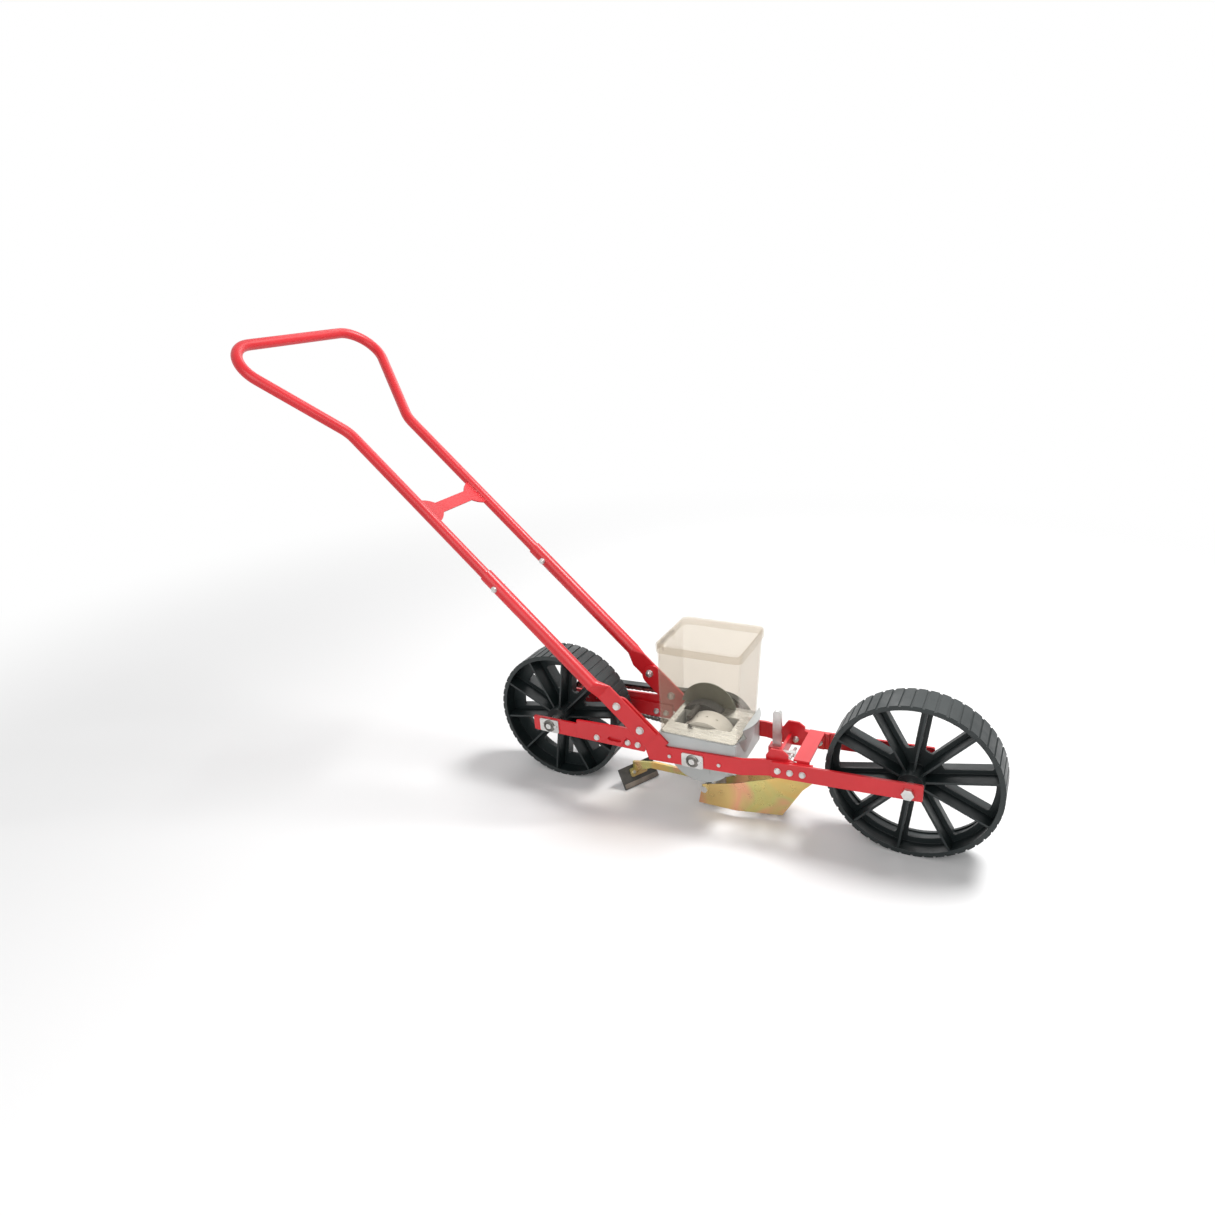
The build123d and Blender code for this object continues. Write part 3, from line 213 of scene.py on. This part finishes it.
mats = {}
mats["red_paint"] = surface(
    "red_paint", (0.53, 0.006, 0.012), (0.62, 0.010, 0.018), (0.3, 0.42),
    scale=9, grain=45, bump=0.03, depth=0.0001, coat=0.12, edge=0.0007)
tube_paint = surface(
    "tube_paint", (0.53, 0.006, 0.012), (0.62, 0.010, 0.018), (0.34, 0.44),
    scale=9, grain=30, bump=0.02, depth=0.0001, coat=0.1, edge=0)
mats["zinc"] = surface(
    "zinc", (0.5, 0.5, 0.49), (0.68, 0.68, 0.66), (0.26, 0.44),
    metallic=1.0, scale=60, grain=700, bump=0.15)
mats["bronze"] = surface(
    "bronze", (0.42, 0.27, 0.12), (0.6, 0.4, 0.19), (0.35, 0.5),
    metallic=1.0, scale=90, grain=800, bump=0.2)
mats["black_plastic"] = surface(
    "black_plastic", (0.004, 0.008, 0.0085), (0.009, 0.015, 0.0155), (0.34, 0.52),
    scale=14, grain=900, bump=0.12, worn=(0.03, 0.037, 0.036), edge=0.0012)
mats["chain_steel"] = surface(
    "chain_steel", (0.1, 0.095, 0.09), (0.24, 0.23, 0.21), (0.3, 0.5), metallic=1.0, scale=80)
mats["white_plastic"] = surface(
    "white_plastic", (0.72, 0.72, 0.69), (0.82, 0.82, 0.79), (0.35, 0.5), scale=12, grain=900)
mats["grey_plastic"] = surface(
    "grey_plastic", (0.36, 0.375, 0.37), (0.46, 0.475, 0.47), (0.3, 0.5),
    scale=10, grain=900, edge=0.0015)
mats["sheet_steel"] = surface(
    "sheet_steel", (0.42, 0.43, 0.42), (0.6, 0.61, 0.59), (0.22, 0.4),
    metallic=1.0, scale=25, grain=300, bump=0.12, stretch=(1, 8, 1))
mats["green_plastic"] = surface(
    "green_plastic", (0.16, 0.2, 0.17), (0.24, 0.28, 0.24), (0.35, 0.5))
mats["dark_plastic"] = surface(
    "dark_plastic", (0.02, 0.022, 0.022), (0.045, 0.048, 0.047), (0.4, 0.6), grain=700)
mats["bristle"] = surface(
    "bristle", (0.02, 0.02, 0.02), (0.06, 0.055, 0.05), (0.5, 0.7))
mats["board_black"] = surface(
    "board_black", (0.012, 0.013, 0.012), (0.03, 0.031, 0.03), (0.45, 0.7),
    scale=25, grain=350, bump=0.3, worn=(0.16, 0.15, 0.13))
mats["lip"] = surface(
    "lip", (0.1, 0.085, 0.07), (0.2, 0.17, 0.14), (0.5, 0.7), scale=40, grain=300, bump=0.25)


def yellow_zinc():
    """Yellow chromate over zinc, with the green and rose clouds such a coat has."""
    material, tree, shader = new_material("yellow_zinc")
    clouds = ramp(tree, noise(tree, 6.5, 2, (1, 1, 1.3), 0.8), [
        (0.3, (0.62, 0.36, 0.10)), (0.42, (0.70, 0.47, 0.16)), (0.5, (0.56, 0.52, 0.20)),
        (0.58, (0.72, 0.36, 0.22)), (0.7, (0.68, 0.49, 0.20))])
    tree.links.new(clouds, shader.inputs["Base Color"])
    shader.inputs["Metallic"].default_value = 0.85
    tree.links.new(span(tree, noise(tree, 40, 5), 0.22, 0.42), shader.inputs["Roughness"])
    relief(tree, shader, noise(tree, 300, 4), 0.12, 0.0002, 0.0006)
    return material


def clear_plastic():
    """Smoky clear moulding with faint scuffs."""
    material, tree, shader = new_material("clear_plastic")
    shader.inputs["Base Color"].default_value = (0.62, 0.57, 0.5, 1)
    shader.inputs["Transmission Weight"].default_value = 0.0
    shader.inputs["IOR"].default_value = 1.49
    tree.links.new(span(tree, noise(tree, 35, 6), 0.03, 0.1), shader.inputs["Roughness"])
    see = tree.nodes.new("ShaderNodeBsdfTransparent")
    see.inputs["Color"].default_value = (0.925, 0.905, 0.875, 1)
    slant = tree.nodes.new("ShaderNodeLayerWeight")
    slant.inputs["Blend"].default_value = 0.5
    amount = tree.nodes.new("ShaderNodeMapRange")
    amount.inputs["From Min"].default_value = 0.45
    amount.inputs["From Max"].default_value = 1.0
    amount.inputs["To Min"].default_value = 0.04
    amount.inputs["To Max"].default_value = 0.42
    tree.links.new(slant.outputs["Facing"], amount.inputs["Value"])
    mix = tree.nodes.new("ShaderNodeMixShader")
    tree.links.new(amount.outputs["Result"], mix.inputs["Fac"])
    tree.links.new(see.outputs["BSDF"], mix.inputs[1])
    tree.links.new(shader.outputs["BSDF"], mix.inputs[2])
    tree.links.new(mix.outputs["Shader"], tree.nodes["Material Output"].inputs["Surface"])
    relief(tree, shader, noise(tree, 60, 5), 0.05, 0.0002, 0.001)
    return material


mats["yellow_zinc"] = yellow_zinc()
mats["clear_plastic"] = clear_plastic()

for part in frame["record"]["subparts"]:
    thing = nodes[part["node"]]
    for place_slot in thing.material_slots:
        place_slot.material = mats[part["material_slot"]]
    if not thing.material_slots:
        thing.data.materials.append(mats[part["material_slot"]])

# The round tubes take the same paint without rounded edges
for name in ("handle_loop", "handle_lower_tube_left", "handle_lower_tube_right"):
    for place_slot in nodes[name].material_slots:
        place_slot.material = tube_paint


# Small detailed pieces
def link(name, mesh, body, material, replaced=()):
    """Adds a mesh as a piece on a body, with the given material."""
    thing = bpy.data.objects.new(name, mesh)
    bpy.context.scene.collection.objects.link(thing)
    mesh.materials.append(mats[material])
    if replaced:
        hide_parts(*replaced)
    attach(thing, body)
    return thing


def finish_mesh(bm, name, smooth=35):
    """Turns a bmesh into a mesh with smooth faces and sharp edges above an angle."""
    bmesh.ops.recalc_face_normals(bm, faces=bm.faces)
    for face in bm.faces:
        face.smooth = True
    limit = math.radians(smooth)
    for edge in bm.edges:
        edge.smooth = len(edge.link_faces) == 2 and edge.calc_face_angle(3.1) < limit
    mesh = bpy.data.meshes.new(name)
    bm.to_mesh(mesh)
    bm.free()
    return mesh


def lathe(bm, profile, origin, axis, steps=40, shape=None):
    """Turns (radius, height) points round an axis; shape moves a ring's points at an angle."""
    axis = Vector(axis).normalized()
    side = axis.orthogonal().normalized()
    if abs(axis.y) > 0.9:
        side = Vector((1, 0, 0))
    other = axis.cross(side)
    rings = []
    for index, (radius, height) in enumerate(profile):
        ring = []
        for step in range(steps):
            angle = 2 * math.pi * step / steps
            reach, lift = (radius, height) if shape is None else shape(index, radius, height, angle)
            outward = side * math.cos(angle) + other * math.sin(angle)
            ring.append(bm.verts.new(Vector(origin) + axis * lift + outward * reach))
        rings.append(ring)
    for lower, upper in zip(rings, rings[1:]):
        for step in range(steps):
            after = (step + 1) % steps
            bm.faces.new((lower[step], lower[after], upper[after], upper[step]))
    bm.faces.new(list(reversed(rings[0])))
    bm.faces.new(rings[-1])


def hexagon(half_flats, crown):
    """Radius and height of a chamfered six-sided head at an angle."""

    def shape(index, radius, height, angle):
        turn = (angle + math.pi / 6) % (math.pi / 3) - math.pi / 6
        corner = half_flats / math.cos(turn)
        if index == 0:
            return corner, height
        if index == 1:
            return corner, height - (corner - crown) * 0.55
        return radius, height

    return shape


def hex_head(bm, origin, axis, flats, height, washer=True, dished=True):
    """Bolt head or nut with a washer under it."""
    half = flats / 2
    crown = half * 0.93
    base = 0.0
    if washer:
        disc = half * 1.24
        washer_height = 0.0012
        lathe(bm, [(disc, 0), (disc, 0.0009), (disc - 0.0003, washer_height),
                   (half, washer_height)], origin, axis)
        base = washer_height
    rim = [(half, base), (half, height), (crown, height)]
    if dished:
        rim += [(crown * 0.86, height), (crown * 0.8, height - 0.0003)]
    lathe(bm, rim, origin, axis, 48, hexagon(half, crown))


def thread(bm, origin, axis, radius, length, pitch=0.00125):
    """Rod with rounded thread ridges and a chamfered end."""
    profile = [(radius * 0.9, 0)]
    count = int(length / pitch)
    for turn in range(count):
        profile.append((radius * 0.88, pitch * (turn + 0.1)))
        profile.append((radius, pitch * (turn + 0.45)))
        profile.append((radius, pitch * (turn + 0.6)))
        profile.append((radius * 0.88, pitch * (turn + 0.95)))
    profile.append((radius * 0.82, length))
    lathe(bm, profile, origin, axis, 24)


def islands(node):
    """Boxes of the separate solids in a CAD node."""
    source = bmesh.new()
    source.from_mesh(nodes[node].data)
    bmesh.ops.remove_doubles(source, verts=source.verts, dist=1e-6)
    left = set(source.verts)
    boxes = []
    while left:
        stack = [left.pop()]
        found = [stack[0].co.copy()]
        while stack:
            vertex = stack.pop()
            for edge in vertex.link_edges:
                other = edge.other_vert(vertex)
                if other in left:
                    left.remove(other)
                    stack.append(other)
                    found.append(other.co.copy())
        low = Vector([min(c[i] for c in found) for i in range(3)])
        high = Vector([max(c[i] for c in found) for i in range(3)])
        boxes.append((low, high))
    source.free()
    return boxes


def bolts(node, flats, height, radius, body="frame"):
    """Detailed bolts in place of a group of plain ones along Y."""
    bm = bmesh.new()
    for low, high in islands(node):
        x = (low.x + high.x) / 2
        z = (low.z + high.z) / 2
        side = 1 if abs(high.y) > abs(low.y) else -1
        outer = high.y if side > 0 else low.y
        inner = low.y if side > 0 else high.y
        seat = outer - side * height
        hex_head(bm, (x, seat, z), (0, side, 0), flats, height)
        thread(bm, (x, seat, z), (0, -side, 0), radius, abs(seat - inner))
    link(node + "_detail", finish_mesh(bm, node), body, "zinc", [node])


def nuts(node, flats, body="frame"):
    """Detailed nuts in place of plain ones along Y, their outer face towards the plates."""
    bm = bmesh.new()
    for low, high in islands(node):
        x = (low.x + high.x) / 2
        z = (low.z + high.z) / 2
        side = 1 if (low.y + high.y) > 0 else -1
        seat = high.y if side > 0 else low.y
        hex_head(bm, (x, seat, z), (0, -side, 0), flats, high.y - low.y, True, False)
    link(node + "_detail", finish_mesh(bm, node), body, "zinc", [node])


bolts("handle_bolts", 0.013, 0.0053, 0.004)
bolts("tube_bolts", 0.010, 0.004, 0.003)
bolts("extension_bolts", 0.010, 0.004, 0.003)
bolts("arm_bolts", 0.010, 0.004, 0.003)
bolts("front_bolts", 0.010, 0.004, 0.003)
nuts("handle_nuts", 0.013)
nuts("small_nuts", 0.010)


def build_chain():
    """Roller chain laid over both sprockets and the two runs."""
    pitch = 0.009525
    teeth = (15, 30)
    links_in_run = 34
    small, large = [pitch / (2 * math.sin(math.pi / count)) for count in teeth]
    low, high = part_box("drive_chain")
    y = (low[1] + high[1]) / 2
    delta = Vector((roller.x - rear.x, roller.z - rear.z))
    turn = math.atan2(delta.y, delta.x)
    first = math.radians(96)
    pins = []
    for step in range(8):
        angle = first + math.radians(24) * step
        pins.append((small * math.cos(angle), small * math.sin(angle)))
    start = pins[-1]
    stop = (delta.length, -large)
    for step in range(1, links_in_run):
        share = step / links_in_run
        pins.append((start[0] + (stop[0] - start[0]) * share,
                     start[1] + (stop[1] - start[1]) * share))
    for step in range(16):
        angle = math.radians(-90 + 12 * step)
        pins.append((delta.length + large * math.cos(angle), large * math.sin(angle)))
    start, stop = pins[-1], pins[0]
    for step in range(1, links_in_run):
        share = step / links_in_run
        pins.append((start[0] + (stop[0] - start[0]) * share,
                     start[1] + (stop[1] - start[1]) * share))
    points = []
    for along, over in pins:
        points.append(Vector((
            rear.x + along * math.cos(turn) - over * math.sin(turn), y,
            rear.z + along * math.sin(turn) + over * math.cos(turn))))
    bm = bmesh.new()
    for index, point in enumerate(points):
        following = points[(index + 1) % len(points)]
        way = (following - point).normalized()
        normal = Vector((-way.z, 0, way.x))
        gap = (following - point).length
        outline = []
        for end, base in ((0, 90), (1, -90)):
            for k in range(7):
                angle = math.radians(base + 30 * k)
                middle = point + way * gap * end
                outline.append(middle + (way * math.cos(angle) + normal * math.sin(angle)) * 0.0039)
        waist = point + way * gap / 2
        outline.insert(7, waist - normal * 0.0029)
        outline.append(waist + normal * 0.0029)
        offset = 0.0026 if index % 2 else 0.0037
        for side in (-1, 1):
            near = [bm.verts.new(v + Vector((0, side * offset, 0))) for v in outline]
            far = [bm.verts.new(v + Vector((0, side * (offset + 0.0010), 0))) for v in outline]
            bm.faces.new(near)
            bm.faces.new(list(reversed(far)))
            for k in range(len(near)):
                after = (k + 1) % len(near)
                bm.faces.new((near[k], far[k], far[after], near[after]))
        lathe(bm, [(0.0016, -0.0049), (0.0016, -0.0026), (0.0025, -0.0025), (0.0025, 0.0025),
                   (0.0016, 0.0026), (0.0016, 0.0049)], point, (0, 1, 0), 12)
    link("roller_chain", finish_mesh(bm, "roller_chain"), "frame", "chain_steel", ["drive_chain"])


build_chain()


def bead(bm, points, radius, seed=0):
    """Lumpy weld bead laid along points."""
    chance = random.Random(seed)
    start, stop = Vector(points[0]), Vector(points[-1])
    way = (stop - start).normalized()
    side = way.orthogonal().normalized()
    other = way.cross(side)
    length = (stop - start).length
    count = max(8, int(length / 0.0009))
    rings = []
    for step in range(count + 1):
        share = step / count
        wave = 0.86 + 0.14 * math.cos(share * length / 0.0032 * 2 * math.pi)
        size = radius * wave * (0.92 + 0.16 * chance.random())
        if step in (0, count):
            size *= 0.35
        ring = []
        for k in range(8):
            angle = 2 * math.pi * k / 8
            ring.append(bm.verts.new(start + way * length * share
                                     + (side * math.cos(angle) + other * math.sin(angle)) * size))
        rings.append(ring)
    for lower, upper in zip(rings, rings[1:]):
        for k in range(8):
            after = (k + 1) % 8
            bm.faces.new((lower[k], lower[after], upper[after], upper[k]))
    bm.faces.new(list(reversed(rings[0])))
    bm.faces.new(rings[-1])


handle_angle = 42.5
bracket_bar_front = 0.1563


def build_welds():
    """Welds of the brace and of the shank's bracket."""
    bm = bmesh.new()
    low, high = [Vector(c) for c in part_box("handle_brace")]
    middle = (low + high) / 2
    slope = math.radians(handle_angle)
    up = Vector((-math.cos(slope), 0, math.sin(slope)))
    normal = Vector((math.sin(slope), 0, math.cos(slope)))
    for side, edge in ((-1, low.y), (1, high.y)):
        for face in (-1, 1):
            base = Vector((middle.x, edge - side * 0.0004, middle.z)) + normal * 0.0013 * face
            bead(bm, [base - up * 0.029, base + up * 0.029], 0.0016, side * 3 + face)
    low, high = [Vector(c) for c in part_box("shank_bracket")]
    bar = roller.x + bracket_bar_front
    for side in (-1, 1):
        y = side * (high.y - 0.0042)
        bead(bm, [(bar, y, low.z + 0.001), (bar, y, low.z + 0.023)], 0.0017, side + 10)
        bead(bm, [(bar - 0.005, y, low.z + 0.0242), (bar, y, low.z + 0.0242)], 0.0013, side + 20)
        bead(bm, [(bar - 0.006, side * 0.0102, low.z + 0.001),
                  (bar - 0.006, side * 0.0102, low.z + 0.023)], 0.0012, side + 30)
    link("weld_beads", finish_mesh(bm, "weld_beads", 60), "frame", "red_paint")


bristle_count = 520
bristle_radius = 0.00022
bristle_reach = 0.0556


def build_brush():
    """Brush block with its bristles, which end just above the seed roller."""
    low, high = [Vector(c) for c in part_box("brush")]
    bm = bmesh.new()
    chance = random.Random(3)
    base = high.z - 0.006
    corners = [(low.x, low.y), (high.x, low.y), (high.x, high.y), (low.x, high.y)]
    lower = [bm.verts.new((x, y, base)) for x, y in corners]
    upper = [bm.verts.new((x, y, high.z)) for x, y in corners]
    bm.faces.new(lower)
    bm.faces.new(upper)
    for k in range(4):
        bm.faces.new((lower[k], lower[(k + 1) % 4], upper[(k + 1) % 4], upper[k]))
    bmesh.ops.bevel(bm, geom=list(bm.edges), offset=0.0007, segments=2, affect="EDGES")
    for _ in range(bristle_count):
        x = chance.uniform(low.x + 0.0008, high.x - 0.0008)
        y = chance.uniform(low.y + 0.0008, high.y - 0.0008)
        lean = chance.uniform(-0.0008, 0.0008)
        across_roller = x + lean - roller.x
        tip = roller.z + math.sqrt(bristle_reach**2 - across_roller**2)
        ring = []
        for k in range(3):
            angle = 2.1 * k
            ring.append(bm.verts.new((
                x + bristle_radius * math.cos(angle), y + bristle_radius * math.sin(angle),
                base + 0.0005)))
        point = bm.verts.new((x + lean, y + lean * 0.5, tip))
        for k in range(3):
            bm.faces.new((ring[k], ring[(k + 1) % 3], point))
    link("brush_detail", finish_mesh(bm, "brush_detail"), "frame", "bristle", ["brush"])


def build_bearing_rims():
    """Raised rims round the shafts on the outside of the bearing plates."""
    bm = bmesh.new()
    for low, high in islands("bearing_plates"):
        side = 1 if low.y > 0 else -1
        outer = high.y if side > 0 else low.y
        origin = ((low.x + high.x) / 2, outer, (low.z + high.z) / 2)
        lathe(bm, [(0.0132, -0.0002), (0.0130, 0.0012), (0.0118, 0.0022), (0.0100, 0.0024),
                   (0.0092, 0.0020), (0.0090, 0.0004), (0.0063, 0.0003)], origin, (0, side, 0), 48)
    link("bearing_rims", finish_mesh(bm, "bearing_rims"), "frame", "chain_steel")


def build_board_lip():
    """Paler rubber lip along the lower edge of the covering board, on its front face."""
    mesh = nodes["covering_plate"].data
    normal = max((f for f in mesh.polygons if f.normal.x > 0.3), key=lambda f: f.area).normal.copy()
    along = Vector((0, 0, 1)).cross(normal).normalized()
    up = normal.cross(along).normalized()
    points = [v.co.copy() for v in mesh.vertices]
    front_level = max(p.dot(normal) for p in points)
    left, right = min(p.dot(along) for p in points), max(p.dot(along) for p in points)
    bottom = min(p.dot(up) for p in points if p.dot(normal) > front_level - 0.0005)
    bm = bmesh.new()
    sides = []
    for reach in (left + 0.0006, right - 0.0006):
        ring = []
        for lift, rise in ((0.0006, -0.0006), (0.0006, 0.0009), (0.0012, 0.0014), (0.0095, 0.0014),
                           (0.0105, 0.0009), (0.0105, -0.0006)):
            point = along * reach + up * (bottom + lift) + normal * (front_level + rise)
            ring.append(bm.verts.new(point))
        sides.append(ring)
    bm.faces.new(sides[0])
    bm.faces.new(list(reversed(sides[1])))
    for k in range(6):
        after = (k + 1) % 6
        bm.faces.new((sides[0][k], sides[0][after], sides[1][after], sides[1][k]))
    link("board_lip", finish_mesh(bm, "board_lip"), "coverer", "lip")


build_board_lip()
build_welds()
build_brush()
build_bearing_rims()


# Floor, world and lamps
def clean_rays(tree):
    """1 for rays that show the background: from the camera, mirrored or through clear plastic."""
    path = tree.nodes.new("ShaderNodeLightPath")
    total = path.outputs["Is Camera Ray"]
    for name in ("Is Glossy Ray", "Is Transmission Ray"):
        node = tree.nodes.new("ShaderNodeMath")
        node.operation = "MAXIMUM"
        tree.links.new(total, node.inputs[0])
        tree.links.new(path.outputs[name], node.inputs[1])
        total = node.outputs["Value"]
    return total


fade_start = 0.9
fade_end = 2.6


def build_floor():
    """Pale floor that runs out into the white surround."""
    bpy.ops.mesh.primitive_plane_add(size=60, location=(0, 0, size_cad[0][2]))
    floor = bpy.context.object
    floor.name = "floor"
    material, tree, shader = new_material("floor")
    shader.inputs["Base Color"].default_value = (0.86, 0.86, 0.86, 1)
    shader.inputs["Roughness"].default_value = 0.9
    shader.inputs["Specular IOR Level"].default_value = 0.1
    glow = tree.nodes.new("ShaderNodeEmission")
    glow.inputs["Color"].default_value = (1, 1, 1, 1)
    geometry = tree.nodes.new("ShaderNodeNewGeometry")
    length = tree.nodes.new("ShaderNodeVectorMath")
    length.operation = "LENGTH"
    tree.links.new(geometry.outputs["Position"], length.inputs[0])
    fade = tree.nodes.new("ShaderNodeMapRange")
    fade.interpolation_type = "SMOOTHSTEP"
    fade.inputs["From Min"].default_value = fade_start
    fade.inputs["From Max"].default_value = fade_end
    fade.inputs["To Min"].default_value = 0.0
    fade.inputs["To Max"].default_value = 1.0
    tree.links.new(length.outputs["Value"], fade.inputs["Value"])
    seen = tree.nodes.new("ShaderNodeMath")
    seen.operation = "MULTIPLY"
    tree.links.new(fade.outputs["Result"], seen.inputs[0])
    tree.links.new(clean_rays(tree), seen.inputs[1])
    mix = tree.nodes.new("ShaderNodeMixShader")
    tree.links.new(seen.outputs["Value"], mix.inputs["Fac"])
    tree.links.new(shader.outputs["BSDF"], mix.inputs[1])
    tree.links.new(glow.outputs["Emission"], mix.inputs[2])
    tree.links.new(mix.outputs["Shader"], tree.nodes["Material Output"].inputs["Surface"])
    floor.data.materials.append(material)


build_floor()

world = bpy.data.worlds.new("world")
bpy.context.scene.world = world
world.use_nodes = True
tree = world.node_tree
sky = tree.nodes["Background"]
sky.inputs["Color"].default_value = (1, 1, 1, 1)
sky.inputs["Strength"].default_value = 0.4
white = tree.nodes.new("ShaderNodeBackground")
white.inputs["Color"].default_value = (1, 1, 1, 1)
white.inputs["Strength"].default_value = 1.0
mix = tree.nodes.new("ShaderNodeMixShader")
tree.links.new(clean_rays(tree), mix.inputs["Fac"])
tree.links.new(sky.outputs["Background"], mix.inputs[1])
tree.links.new(white.outputs["Background"], mix.inputs[2])
tree.links.new(mix.outputs["Shader"], tree.nodes["World Output"].inputs["Surface"])


def lamp(name, place, target, size, power):
    """Square soft lamp aimed at a point."""
    data = bpy.data.lights.new(name, "AREA")
    data.size = size
    data.energy = power
    thing = bpy.data.objects.new(name, data)
    bpy.context.scene.collection.objects.link(thing)
    thing.location = place
    thing.rotation_euler = (Vector(target) - Vector(place)).to_track_quat("-Z", "Y").to_euler()


lamp("key", (1.2, 0.9, 2.7), (0.0, 0, 0.1), 0.9, 80)
lamp("fill", (0.4, -2.6, 1.7), (0, 0, 0.3), 2.2, 36)
lamp("back", (-0.8, 2.2, 2.0), (0, 0, 0.3), 1.6, 14)
